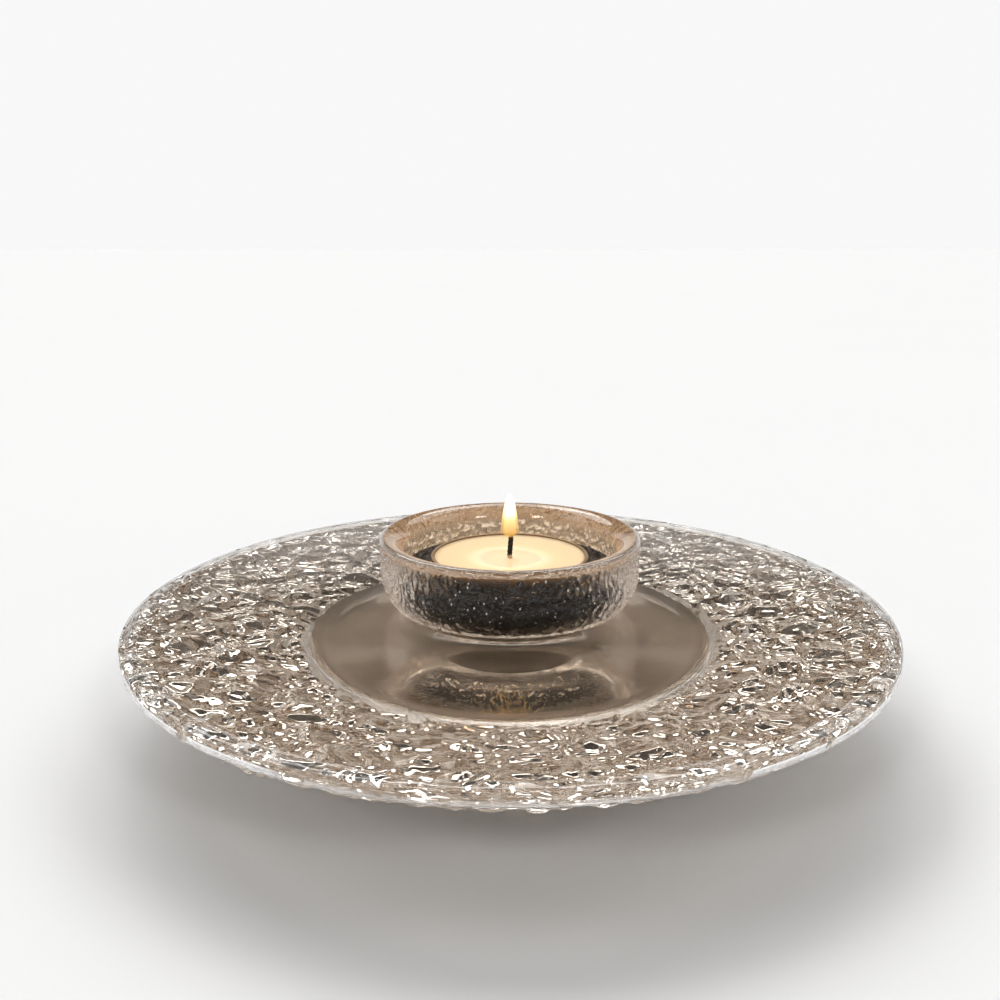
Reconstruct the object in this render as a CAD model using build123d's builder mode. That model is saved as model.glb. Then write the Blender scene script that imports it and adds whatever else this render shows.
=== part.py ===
from build123d import *
import math
import os

# Floating candle bowl: a shallow glass bowl filled with water to just under its lip, a round-bottomed
# glass dish afloat in the middle, and a tealight standing loose in the dish.
# Millimetres, +Z up, origin on the table under the centre of the bowl's foot. All pieces are turned
# about Z, so every profile is drawn on the XZ plane as (radius, height).

# Bowl: small flat foot, gently rising well with a rounded shoulder, sloping flange and thick lip
bowl_radius = 90.0
bowl_height = 26.0
foot_radius = 18.5
well_radius = 50.0
well_rise = 5.5
shoulder_width = 6.0
shoulder_drop = 2.5
floor_thickness = 5.0
flange_wall = 4.5
lip_width = 3.5
edge_depth = 5.0
edge_setback = 1.5
edge_land = 3.0
lip_round = 1.4
well_round = 3.0

# Hammer marks under the flange: round dimples scattered at about even distances
mark_width = 11.0
mark_depth = 1.5
mark_spacing = 12.0
mark_margin = 7.0

# Water: level below the lip and the running room against the glass
fill_below_lip = 0.6
fill_clearance = 0.3
bed_setback = 2.0

# Dish: vertical side over a rounded bottom; the lip is crisp outside and slopes in to the hollow
dish_radius = 31.2
dish_height = 19.0
dish_curve = 10.5
dish_wall = 5.8
dish_floor = 2.6
dish_corner = 5.0
dish_edge_round = 1.2
dish_draught = 1.0
float_clearance = 0.3

# Tealight: pressed cup with a beaded rim, wax, wick tab and wick
cup_radius = 18.5
cup_height = 11.2
cup_wall = 0.4
bead_overhang = 0.5
bead_depth = 1.0
bead_round = 0.2
wax_below_rim = 0.8
wax_clearance = 0.1
tab_radius = 6.0
tab_thickness = 0.4
neck_wall = 0.6
neck_height = 3.0
wick_radius = 0.65
wick_above_wax = 5.4
wick_tip_round = 0.3

# Heights and angles that follow from the sizes above
rim_shoulder_radius = bowl_radius - edge_setback
rim_shoulder_height = bowl_height - edge_depth
flange_slope = math.atan2(rim_shoulder_height - well_rise, rim_shoulder_radius - well_radius)
first_mark_radius = well_radius + mark_margin
last_mark_radius = rim_shoulder_radius - mark_margin
mark_area = last_mark_radius**2 - first_mark_radius**2
mark_count = round(math.pi * mark_area / mark_spacing**2)
mark_turn = math.pi * (3 - math.sqrt(5))
mark_curve = (mark_width**2 / 4 + mark_depth**2) / (2 * mark_depth)
mark_stand_off = mark_curve - mark_depth
base_radius = well_radius - shoulder_width
base_rise = well_rise - shoulder_drop
base_slope = math.atan2(base_rise, base_radius - foot_radius)
inner_base_height = floor_thickness + base_rise
inner_well_radius = well_radius - flange_wall * math.sin(flange_slope)
inner_well_height = well_rise + flange_wall * math.cos(flange_slope)
lip_inner_radius = bowl_radius - lip_width
inner_slope = math.atan2(bowl_height - inner_well_height, lip_inner_radius - inner_well_radius)
water_level = bowl_height - fill_below_lip
bed_radius = base_radius - fill_clearance * math.sin(base_slope)
bed_height = inner_base_height + fill_clearance * math.cos(base_slope)
bank_radius = inner_well_radius - fill_clearance * math.sin(inner_slope)
bank_height = inner_well_height + fill_clearance * math.cos(inner_slope)
water_radius = bank_radius + (water_level - bank_height) / math.tan(inner_slope)

dish_base = water_level - dish_draught
dish_top = dish_base + dish_height
dish_cavity_radius = dish_radius - dish_wall
dish_cavity_floor = dish_base + dish_floor
dish_curve_centre = dish_radius - dish_curve
dish_slope_round = dish_wall - dish_edge_round

cup_base = dish_cavity_floor
cup_rim = cup_base + cup_height
cup_floor = cup_base + cup_wall
wax_radius = cup_radius - cup_wall - wax_clearance
wax_top = cup_rim - wax_below_rim
bore_radius = wick_radius + wax_clearance
neck_radius = bore_radius + neck_wall
neck_top = cup_floor + neck_height
wick_top = wax_top + wick_above_wax


def mark_centre(number):
    """Centre of the ball that presses one hammer mark; the marks follow a golden-angle spiral."""
    radius = math.sqrt(first_mark_radius**2 + mark_area * number / (mark_count - 1))
    height = well_rise + (radius - well_radius) * math.tan(flange_slope)
    reach = radius + mark_stand_off * math.sin(flange_slope)
    turn = number * mark_turn
    return (
        reach * math.cos(turn),
        reach * math.sin(turn),
        height - mark_stand_off * math.cos(flange_slope),
    )


os.makedirs("parts", exist_ok=True)


# Bowl: pressed glass, with a well that rises gently from a flat foot to a round shoulder under the flange
with BuildPart() as bowl:
    with BuildSketch(Plane.XZ) as bowl_section:
        with BuildLine():
            foot = Polyline((0, 0), (foot_radius, 0), (base_radius, base_rise))
            under_well = TangentArc(foot @ 1, (well_radius, well_rise), tangent=foot % 1)
            rim = Polyline(
                under_well @ 1,
                (rim_shoulder_radius, rim_shoulder_height),
                (bowl_radius, bowl_height - edge_land),
                (bowl_radius, bowl_height),
                (lip_inner_radius, bowl_height),
                (inner_well_radius, inner_well_height),
            )
            floor = Polyline(
                foot @ 0,
                (0, floor_thickness),
                (foot_radius, floor_thickness),
                (base_radius, inner_base_height),
            )
            TangentArc(floor @ 1, rim @ 1, tangent=floor % 1)
        make_face()
        lip_corners = bowl_section.vertices().group_by(Axis.Y)[-1]
        fillet(lip_corners, radius=lip_round)
        well_corner = bowl_section.vertices().sort_by_distance((well_radius, well_rise))[0]
        fillet(well_corner, radius=well_round)
    revolve(axis=Axis.Z)
    with Locations(*[mark_centre(number) for number in range(mark_count)]):
        Sphere(mark_curve, mode=Mode.SUBTRACT)
bowl.part.label = "bowl"
export_step(bowl.part, "parts/bowl.step")


# Water: fills the bowl, with a hollow where the dish floats
with BuildPart() as water:
    with BuildSketch(Plane.XZ):
        with BuildLine():
            bed = Polyline(
                (0, floor_thickness),
                (foot_radius - bed_setback, floor_thickness),
                (bed_radius, bed_height),
            )
            bed_curve = TangentArc(bed @ 1, (bank_radius, bank_height), tangent=bed % 1)
            shore = Line(bed_curve @ 1, (water_radius, water_level))
            surface = Line(shore @ 1, (0, water_level))
            Line(surface @ 1, bed @ 0)
        make_face()
    revolve(axis=Axis.Z)
    with BuildSketch(Plane.XZ):
        with BuildLine():
            keel = Line((0, dish_base - float_clearance), (dish_curve_centre, dish_base - float_clearance))
            bilge = TangentArc(
                keel @ 1,
                (dish_radius + float_clearance, dish_base + dish_curve),
                tangent=(1, 0),
            )
            deck = Line(bilge @ 1, (0, dish_base + dish_curve))
            Line(deck @ 1, keel @ 0)
        make_face()
    revolve(axis=Axis.Z, mode=Mode.SUBTRACT)
water.part.label = "water"
export_step(water.part, "parts/water.step")


# Floating dish: thick glass, round underneath, with a flat floor inside for the tealight
with BuildPart() as floating_dish:
    with BuildSketch(Plane.XZ) as dish_section:
        with BuildLine():
            base = Line((0, dish_base), (dish_curve_centre, dish_base))
            belly = TangentArc(base @ 1, (dish_radius, dish_base + dish_curve), tangent=(1, 0))
            side = Line(belly @ 1, (dish_radius, dish_top - dish_edge_round))
            crest = TangentArc(side @ 1, (dish_radius - dish_edge_round, dish_top), tangent=(0, 1))
            slope = TangentArc(
                crest @ 1,
                (dish_cavity_radius, dish_top - dish_slope_round),
                tangent=(-1, 0),
            )
            Polyline(
                slope @ 1,
                (dish_cavity_radius, dish_cavity_floor),
                (0, dish_cavity_floor),
                base @ 0,
            )
        make_face()
        cavity_corner = dish_section.vertices().sort_by_distance((dish_cavity_radius, dish_cavity_floor))[0]
        fillet(cavity_corner, radius=dish_corner)
    revolve(axis=Axis.Z)
floating_dish.part.label = "floating_dish"
export_step(floating_dish.part, "parts/floating_dish.step")


# Tealight cup: thin pressed metal with a bead round the rim
with BuildPart() as tealight_cup:
    with BuildSketch(Plane.XZ) as cup_section:
        with BuildLine():
            Polyline(
                (0, cup_base),
                (cup_radius, cup_base),
                (cup_radius, cup_rim - bead_depth),
                (cup_radius + bead_overhang, cup_rim - bead_depth),
                (cup_radius + bead_overhang, cup_rim),
                (cup_radius - cup_wall, cup_rim),
                (cup_radius - cup_wall, cup_floor),
                (0, cup_floor),
                close=True,
            )
        make_face()
        bead_corners = cup_section.vertices().group_by(Axis.X)[-1]
        fillet(bead_corners, radius=bead_round)
    revolve(axis=Axis.Z)
tealight_cup.part.label = "tealight_cup"
export_step(tealight_cup.part, "parts/tealight_cup.step")


# Wax: fills the cup around the wick tab and the wick
with BuildPart() as wax:
    with BuildSketch(Plane.XZ):
        with BuildLine():
            Polyline(
                (tab_radius + wax_clearance, cup_floor),
                (wax_radius, cup_floor),
                (wax_radius, wax_top),
                (bore_radius, wax_top),
                (bore_radius, neck_top + wax_clearance),
                (neck_radius + wax_clearance, neck_top + wax_clearance),
                (neck_radius + wax_clearance, cup_floor + tab_thickness + wax_clearance),
                (tab_radius + wax_clearance, cup_floor + tab_thickness + wax_clearance),
                close=True,
            )
        make_face()
    revolve(axis=Axis.Z)
wax.part.label = "wax"
export_step(wax.part, "parts/wax.step")


# Wick tab: a tin disc on the cup's floor with a crimped neck that holds the wick
with BuildPart() as wick_tab:
    with BuildSketch(Plane.XZ):
        with BuildLine():
            Polyline(
                (bore_radius, cup_floor),
                (tab_radius, cup_floor),
                (tab_radius, cup_floor + tab_thickness),
                (neck_radius, cup_floor + tab_thickness),
                (neck_radius, neck_top),
                (bore_radius, neck_top),
                close=True,
            )
        make_face()
    revolve(axis=Axis.Z)
wick_tab.part.label = "wick_tab"
export_step(wick_tab.part, "parts/wick_tab.step")


# Wick: a braided cotton cord that stands on the cup's floor and comes out of the wax
with BuildPart() as wick:
    with BuildSketch(Plane.XY.offset(cup_floor)):
        Circle(wick_radius)
    extrude(amount=wick_top - cup_floor)
    fillet(wick.edges().group_by(Axis.Z)[-1], radius=wick_tip_round)
wick.part.label = "wick"
export_step(wick.part, "parts/wick.step")
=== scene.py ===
import logging
import math
from collections.abc import Callable, Iterable, Mapping, Sequence
from dataclasses import dataclass, field
from enum import Enum, IntEnum

import bpy
import numpy as np
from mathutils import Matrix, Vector, noise


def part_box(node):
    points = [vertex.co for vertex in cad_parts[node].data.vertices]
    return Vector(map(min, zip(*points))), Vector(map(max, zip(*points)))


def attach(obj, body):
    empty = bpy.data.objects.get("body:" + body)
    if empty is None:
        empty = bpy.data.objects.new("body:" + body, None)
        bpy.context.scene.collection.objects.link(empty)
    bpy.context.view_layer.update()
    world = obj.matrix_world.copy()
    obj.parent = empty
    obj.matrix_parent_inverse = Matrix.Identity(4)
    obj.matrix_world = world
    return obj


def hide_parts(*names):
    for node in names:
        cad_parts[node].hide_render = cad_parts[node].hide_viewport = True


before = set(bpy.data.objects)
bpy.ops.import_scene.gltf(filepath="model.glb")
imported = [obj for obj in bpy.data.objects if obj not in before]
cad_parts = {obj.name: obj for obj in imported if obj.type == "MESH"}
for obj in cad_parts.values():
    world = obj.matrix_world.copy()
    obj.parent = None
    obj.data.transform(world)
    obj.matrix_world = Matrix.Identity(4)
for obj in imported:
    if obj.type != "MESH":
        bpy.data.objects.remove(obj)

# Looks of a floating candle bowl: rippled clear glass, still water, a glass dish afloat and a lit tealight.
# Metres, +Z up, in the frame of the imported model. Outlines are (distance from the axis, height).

LOG = logging.getLogger("candle_bowl")
MM = 0.001
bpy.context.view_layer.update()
FULL_TURN = 2 * math.pi
GOLDEN_ANGLE = math.pi * (3 - math.sqrt(5))
FEWEST_ARC_STEPS = 4
COUNT_SLACK = 1e-6
TINY = 1e-12
# Fixes how the ripple's cells drift, so that every run gives the same shape.
RIPPLE_SEED = 1795791172

Colour = tuple[float, float, float]
Triple = tuple[float, float, float]
Relief = Callable[[np.ndarray, np.ndarray], np.ndarray]

BLACK: Colour = (0.0, 0.0, 0.0)
EVEN: Triple = (1.0, 1.0, 1.0)


class Body(str, Enum):
    """The bodies that the pieces ride on."""

    BOWL = "bowl"
    WATER = "water"
    DISH = "dish"
    TEALIGHT = "tealight"


class BowlSkin(IntEnum):
    """Which of the bowl's finishes a face takes."""

    SMOOTH = 0
    RIPPLED = 1
    WET = 2
    WELL = 3


class DishSkin(IntEnum):
    """Which of the dish's finishes a face takes."""

    SMOOTH = 0
    RIPPLED = 1
    PAINTED_SHADE = 2
    PAINTED_FLAME_LIGHT = 3


class WaterSkin(IntEnum):
    """Which of the water's finishes a face takes."""

    OPEN = 0
    BED = 1


class MixSocket(IntEnum):
    """Numbers of a Mix node's colour sockets, whose names are not unique."""

    SHARE = 0
    RESULT = 2
    FIRST = 6
    SECOND = 7


class Detail(IntEnum):
    """How many finer layers a mottle has."""

    SMOOTH = 1
    SOFT = 2
    FINE = 3
    ROUGH = 4


class Signal:
    """One output socket of a node sheet, with arithmetic that adds Math nodes."""

    def __init__(self, sheet: "NodeSheet", socket: bpy.types.NodeSocket) -> None:
        """Keeps the sheet and the socket.

        Args:
            sheet: the node sheet that the socket is on.
            socket: the output socket.
        """
        self.sheet = sheet
        self.socket = socket

    def __add__(self, other: "Signal | float") -> "Signal":
        """Sum."""
        return self.sheet.maths("ADD", self, other)

    def __radd__(self, other: float) -> "Signal":
        """Sum, with a number in front."""
        return self.sheet.maths("ADD", other, self)

    def __sub__(self, other: "Signal | float") -> "Signal":
        """Difference."""
        return self.sheet.maths("SUBTRACT", self, other)

    def __rsub__(self, other: float) -> "Signal":
        """Difference, with a number in front."""
        return self.sheet.maths("SUBTRACT", other, self)

    def __mul__(self, other: "Signal | float") -> "Signal":
        """Product."""
        return self.sheet.maths("MULTIPLY", self, other)

    def __rmul__(self, other: float) -> "Signal":
        """Product, with a number in front."""
        return self.sheet.maths("MULTIPLY", other, self)

    def __truediv__(self, other: "Signal | float") -> "Signal":
        """Quotient."""
        return self.sheet.maths("DIVIDE", self, other)

    def __rtruediv__(self, other: float) -> "Signal":
        """Quotient, with a number in front."""
        return self.sheet.maths("DIVIDE", other, self)

    def __pow__(self, other: "Signal | float") -> "Signal":
        """Power."""
        return self.sheet.maths("POWER", self, other)

    def __rpow__(self, other: float) -> "Signal":
        """Power, with a number in front."""
        return self.sheet.maths("POWER", other, self)

    def swing(self, reach: float) -> "Signal":
        """Turns a variation from 0 to 1 into one to either side of 0, as wide as the reach."""
        return (self - 0.5) * reach

    def between(self, low: float, high: float) -> "Signal":
        """Rises smoothly from 0 at low to 1 at high.

        Args:
            low: where the result is 0.
            high: where the result is 1.
        Returns:
            The smooth step.
        """
        settings = {"interpolation_type": "SMOOTHSTEP"}
        inputs = {"Value": self, "From Min": low, "From Max": high}
        node = self.sheet.add("ShaderNodeMapRange", settings, inputs)
        return self.sheet.out(node)


class NodeSheet:
    """The nodes of one material or world."""

    def __init__(self, tree: bpy.types.NodeTree) -> None:
        """Empties a node tree and takes it over.

        Args:
            tree: the tree of a material or world.
        """
        self.tree = tree
        tree.nodes.clear()

    def add(
        self,
        kind: str,
        settings: Mapping[str, object] | None = None,
        inputs: Mapping[str | int, object] | None = None,
    ) -> bpy.types.Node:
        """Adds one node, sets it up, and fills or links its inputs.

        Args:
            kind: the node's type name.
            settings: properties set first; "stops" gives a ramp's (place, colour) stops.
            inputs: values or signals by the socket's name or number.
        Returns:
            The new node.
        """
        node = self.tree.nodes.new(kind)
        for name, value in (settings or {}).items():
            if name == "stops":
                self._set_stops(node, value)
            else:
                setattr(node, name, value)
        for key, value in (inputs or {}).items():
            socket = node.inputs[key]
            if isinstance(value, Signal):
                self.tree.links.new(value.socket, socket)
            elif isinstance(value, tuple) and socket.type == "RGBA":
                socket.default_value = (*value, 1.0)
            else:
                socket.default_value = value
        return node

    @staticmethod
    def _set_stops(node: bpy.types.Node, stops: Sequence[tuple[float, Colour]]) -> None:
        """Gives a colour ramp its stops.

        Args:
            node: the ramp.
            stops: place and colour of each stop, in order.
        """
        elements = node.color_ramp.elements
        while len(elements) < len(stops):
            elements.new(1.0)
        for element, (place, colour) in zip(elements, stops):
            element.position = place
            element.color = (*colour, 1.0)

    def out(self, node: bpy.types.Node, name: str | int = 0) -> Signal:
        """One output of a node as a signal."""
        return Signal(self, node.outputs[name])

    def maths(self, operation: str, *values: Signal | float) -> Signal:
        """Adds one Math node.

        Args:
            operation: the node's operation.
            values: its inputs, in order.
        Returns:
            The node's result.
        """
        return self.out(self.add("ShaderNodeMath", {"operation": operation}, dict(enumerate(values))))

    def place(self) -> Signal:
        """Where the shaded point lies on its piece."""
        return self.out(self.add("ShaderNodeTexCoord"), "Object")

    def split(self, vector: Signal) -> tuple[Signal, Signal, Signal]:
        """The three parts of a vector."""
        node = self.add("ShaderNodeSeparateXYZ", None, {"Vector": vector})
        return self.out(node, 0), self.out(node, 1), self.out(node, 2)

    def from_axis(self) -> Signal:
        """Distance of the shaded point from the vertical axis."""
        x, y, _ = self.split(self.place())
        return (x * x + y * y) ** 0.5

    def height(self) -> Signal:
        """Height of the shaded point."""
        return self.split(self.place())[2]

    def spaced(self, grain: float, stretch: Triple) -> Signal:
        """The place counted in grains.

        Args:
            grain: size of one grain.
            stretch: how much longer a grain is along each axis.
        Returns:
            The scaled place.
        """
        scale = tuple(1.0 / (grain * part) for part in stretch)
        return self.out(self.add("ShaderNodeMapping", None, {"Vector": self.place(), "Scale": scale}))

    def mottle(self, grain: float, detail: Detail = Detail.FINE, stretch: Triple = EVEN) -> Signal:
        """Soft random variation from 0 to 1.

        Args:
            grain: size of one patch.
            detail: how many finer layers are added.
            stretch: how much longer a patch is along each axis.
        Returns:
            The variation.
        """
        cloud = {"Vector": self.spaced(grain, stretch), "Scale": 1.0, "Detail": float(detail)}
        return self.out(self.add("ShaderNodeTexNoise", None, cloud))

    def specks(self, grain: float, size: float, stretch: Triple = EVEN, core: float = 0.6) -> Signal:
        """Scattered specks: 1 in a speck and 0 between them.

        Args:
            grain: distance between specks.
            size: radius of a speck as a share of that distance.
            stretch: how much longer a speck is along each axis.
            core: share of a speck's radius before it fades out.
        Returns:
            The specks.
        """
        points = {"Vector": self.spaced(grain, stretch), "Scale": 1.0}
        distance = self.out(self.add("ShaderNodeTexVoronoi", None, points))
        return 1.0 - distance.between(size * core, size)

    def blend(self, share: Signal, first: Colour | Signal, second: Colour | Signal) -> Signal:
        """Mixes two colours.

        Args:
            share: how much of the second colour.
            first: the first colour.
            second: the second colour.
        Returns:
            The mixed colour.
        """
        settings = {"data_type": "RGBA"}
        inputs = {MixSocket.SHARE: share, MixSocket.FIRST: first, MixSocket.SECOND: second}
        return self.out(self.add("ShaderNodeMix", settings, inputs), MixSocket.RESULT)

    def ramp(self, value: Signal, stops: Sequence[tuple[float, Colour]]) -> Signal:
        """Colour from a value by a ramp of stops."""
        return self.out(self.add("ShaderNodeValToRGB", {"stops": stops}, {"Fac": value}))

    def bump(self, relief: Signal, depth: float, strength: float) -> Signal:
        """A normal tilted by a relief.

        Args:
            relief: the relief, from 0 to 1.
            depth: how deep the relief is.
            strength: share of the effect.
        Returns:
            The tilted normal.
        """
        inputs = {"Height": relief, "Distance": depth, "Strength": strength}
        return self.out(self.add("ShaderNodeBump", None, inputs))

    def surface(self, **inputs: object) -> None:
        """Ends a material with a Principled shader.

        Args:
            inputs: the shader's inputs; an underscore in a name stands for a space.
        """
        named = {key.replace("_", " "): value for key, value in inputs.items()}
        shader = self.add("ShaderNodeBsdfPrincipled", None, named)
        self.add("ShaderNodeOutputMaterial", None, {"Surface": self.out(shader)})


class Finish:
    """A finish that can be put on a piece."""

    title: str

    def dress(self, sheet: NodeSheet) -> None:
        """Lays the finish out on an empty sheet."""
        raise NotImplementedError

    def material(self) -> bpy.types.Material:
        """The finish as a material.

        Returns:
            The finished material.
        """
        made = bpy.data.materials.new(self.title)
        made.use_nodes = True
        self.dress(NodeSheet(made.node_tree))
        return made


@dataclass(frozen=True)
class ClearGlass(Finish):
    """Pressed clear glass, tinted, with faint streaks."""

    title: str
    pale: Colour
    deep: Colour
    streak: float = 9 * MM
    stretch: Triple = EVEN
    grain: float = 0.9 * MM
    ripple_depth: float = 0.03 * MM
    ripple_share: float = 0.2
    polish: float = 0.01
    haze: float = 0.03
    refraction: float = 1.5

    def optics(self, sheet: NodeSheet) -> dict[str, object]:
        """Cast from slow streaks, polish and fine ripple from small grain.

        Args:
            sheet: the sheet that the nodes go on.
        Returns:
            The shader's inputs.
        """
        cast = sheet.mottle(self.streak, Detail.FINE, self.stretch)
        fine = sheet.mottle(self.grain, Detail.SOFT)
        return {
            "Base_Color": sheet.blend(cast, self.pale, self.deep),
            "Roughness": fine * self.haze + self.polish,
            "Transmission_Weight": 1.0,
            "IOR": self.refraction,
            "Normal": sheet.bump(fine, self.ripple_depth, self.ripple_share),
        }

    def dress(self, sheet: NodeSheet) -> None:
        """Lays the glass out."""
        sheet.surface(**self.optics(sheet))


@dataclass(frozen=True)
class GlintSpeckGlass(ClearGlass):
    """Clear glass with small bright mirror-like specks drawn out along the side, which stand in for the
    ripple's glints: painted glints.
    """

    painted_glint_colour: Colour = (0.95, 0.93, 0.90)
    painted_glint_spacing: float = 1.1 * MM
    painted_glint_size: float = 0.16
    painted_glint_stretch: Triple = (1.0, 1.0, 1.9)
    painted_glint_haze: float = 0.35

    def optics(self, sheet: NodeSheet) -> dict[str, object]:
        """The clear glass's inputs with mirror-like specks as painted glints.

        Args:
            sheet: the sheet that the nodes go on.
        Returns:
            The shader's inputs.
        """
        inputs = super().optics(sheet)
        # Painted glints: near-white metallic specks that stand in for the ripple's glints.
        painted_glints = sheet.specks(self.painted_glint_spacing, self.painted_glint_size, self.painted_glint_stretch)
        inputs["Base_Color"] = sheet.blend(painted_glints, inputs["Base_Color"], self.painted_glint_colour)
        inputs["Roughness"] = inputs["Roughness"] + painted_glints * self.painted_glint_haze
        inputs["Metallic"] = painted_glints
        return inputs


@dataclass(frozen=True)
class PaintedFlameLightGlass(ClearGlass):
    """Clear glass with painted flame light: a warm glow that stands in for the light of a flame, stronger
    higher up.
    """

    painted_glow_colour: Colour = (1.0, 0.50, 0.20)
    glow: float = 0.11
    glow_low: float = 0.0
    glow_high: float = 1.0

    def optics(self, sheet: NodeSheet) -> dict[str, object]:
        """The clear glass's inputs with a painted warm glow, standing in for flame light, that fades out
        downwards.

        Args:
            sheet: the sheet that the nodes go on.
        Returns:
            The shader's inputs.
        """
        inputs = super().optics(sheet)
        lit = sheet.height().between(self.glow_low, self.glow_high)
        # Painted flame light: warm emission, faded out downwards.
        inputs["Emission_Color"] = sheet.blend(lit, BLACK, self.painted_glow_colour)
        inputs["Emission_Strength"] = self.glow
        return inputs


@dataclass(frozen=True)
class StillWater(Finish):
    """Clear still water with a barely moving surface."""

    title: str = "still_water"
    pale: Colour = (0.99, 0.985, 0.975)
    deep: Colour = (0.95, 0.95, 0.94)
    swell: float = 14 * MM
    swell_depth: float = 0.06 * MM
    swell_share: float = 0.15
    film: float = 0.01
    refraction: float = 1.333

    def dress(self, sheet: NodeSheet) -> None:
        """A slow swell and a trace of film.

        Args:
            sheet: the sheet that the nodes go on.
        """
        swell = sheet.mottle(self.swell, Detail.SMOOTH)
        sheet.surface(
            Base_Color=sheet.blend(swell, self.pale, self.deep),
            Roughness=swell * self.film,
            Transmission_Weight=1.0,
            IOR=self.refraction,
            Normal=sheet.bump(swell, self.swell_depth, self.swell_share),
        )


@dataclass(frozen=True)
class WaterBed(Finish):
    """The water's face against the bowl, which cannot be told from the glass under it."""

    title: str = "water_bed"
    clear: Colour = (0.95, 0.95, 0.94)

    def dress(self, sheet: NodeSheet) -> None:
        """Nothing to see."""
        sheet.surface(Base_Color=self.clear, Alpha=0.0, Specular_IOR_Level=0.0)


@dataclass(frozen=True)
class CandleWax(Finish):
    """Cream wax, wet round the wick; its colour is lighter there and darker towards the rim, partly the wet
    pool and partly painted flame light, with a painted warm glow.
    """

    radius: float
    title: str = "candle_wax"
    pool: Colour = (0.95, 0.80, 0.56)
    body: Colour = (0.90, 0.66, 0.38)
    rim: Colour = (0.72, 0.48, 0.26)
    pool_share: float = 0.42
    pool_blur: float = 0.08
    body_share: float = 0.6
    rim_share: float = 0.93
    cloud: float = 5 * MM
    cloud_reach: float = 0.12
    grain: float = 0.8 * MM
    grain_depth: float = 0.05 * MM
    grain_share: float = 0.25
    grain_haze: float = 0.1
    dry_roughness: float = 0.5
    wet_polish: float = 0.36
    wet_coat: float = 0.6
    coat_roughness: float = 0.05
    scatter_share: float = 0.35
    scatter: Triple = (4.0 * MM, 2.2 * MM, 1.0 * MM)
    painted_glow_near: Colour = (1.0, 0.72, 0.36)
    painted_glow_far: Colour = (0.75, 0.36, 0.12)
    glow: float = 0.03

    def dress(self, sheet: NodeSheet) -> None:
        """Colour, wetness and a painted glow by distance from the wick.

        Args:
            sheet: the sheet that the nodes go on.
        """
        share = sheet.from_axis() / self.radius
        edge = share + sheet.mottle(self.cloud, Detail.ROUGH).swing(self.cloud_reach)
        wet = 1.0 - edge.between(self.pool_share - self.pool_blur, self.pool_share + self.pool_blur)
        fine = sheet.mottle(self.grain, Detail.FINE)
        # Lighter round the wick and darker towards the rim: partly the wet pool, partly painted flame light.
        stops = (
            (0.0, self.pool),
            (self.pool_share, self.pool),
            (self.body_share, self.body),
            (self.rim_share, self.body),
            (1.0, self.rim),
        )
        sheet.surface(
            Base_Color=sheet.ramp(edge, stops),
            Roughness=self.dry_roughness - wet * self.wet_polish + fine * self.grain_haze,
            Subsurface_Weight=self.scatter_share,
            Subsurface_Radius=self.scatter,
            Subsurface_Scale=1.0,
            Coat_Weight=wet * self.wet_coat,
            Coat_Roughness=self.coat_roughness,
            # Painted flame light: a warm glow, strongest round the wick.
            Emission_Color=sheet.blend(share.between(0.0, 1.0), self.painted_glow_near, self.painted_glow_far),
            Emission_Strength=self.glow,
            Normal=sheet.bump(fine, self.grain_depth, self.grain_share),
        )


@dataclass(frozen=True)
class PaintedDarkCup(Finish):
    """Near-black on thin pressed metal, which stands in for the dark that a bare metal cup mirrors: painted
    reflection; rubbed bright along the rolled rim.
    """

    rim_height: float
    title: str = "cup_painted_dark_reflection"
    # Painted reflection: near-black for the dark that a bare metal cup mirrors.
    painted_dark_reflection: Colour = (0.006, 0.0055, 0.005)
    dust: Colour = (0.018, 0.016, 0.014)
    dust_patch: float = 6 * MM
    dust_haze: float = 0.2
    worn: Colour = (0.34, 0.22, 0.12)
    wear_depth: float = 0.5 * MM
    wear_stray: float = 0.6 * MM
    wear_polish: float = 0.2
    wear_metal: float = 0.8
    grain: float = 0.7 * MM
    grain_depth: float = 0.04 * MM
    grain_share: float = 0.3
    roughness: float = 0.42
    sheen: float = 0.15

    def dress(self, sheet: NodeSheet) -> None:
        """Near-black painted reflection with dusty patches, worn through near the rim.

        Args:
            sheet: the sheet that the nodes go on.
        """
        patch = sheet.mottle(self.dust_patch, Detail.ROUGH)
        fine = sheet.mottle(self.grain, Detail.FINE)
        height = sheet.height() + fine.swing(self.wear_stray)
        bare = height.between(self.rim_height - self.wear_depth, self.rim_height)
        coat = sheet.blend(patch, self.painted_dark_reflection, self.dust)
        sheet.surface(
            Base_Color=sheet.blend(bare, coat, self.worn),
            Metallic=bare * self.wear_metal,
            Roughness=self.roughness + patch * self.dust_haze - bare * self.wear_polish,
            Specular_IOR_Level=self.sheen,
            Normal=sheet.bump(fine, self.grain_depth, self.grain_share),
        )


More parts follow.
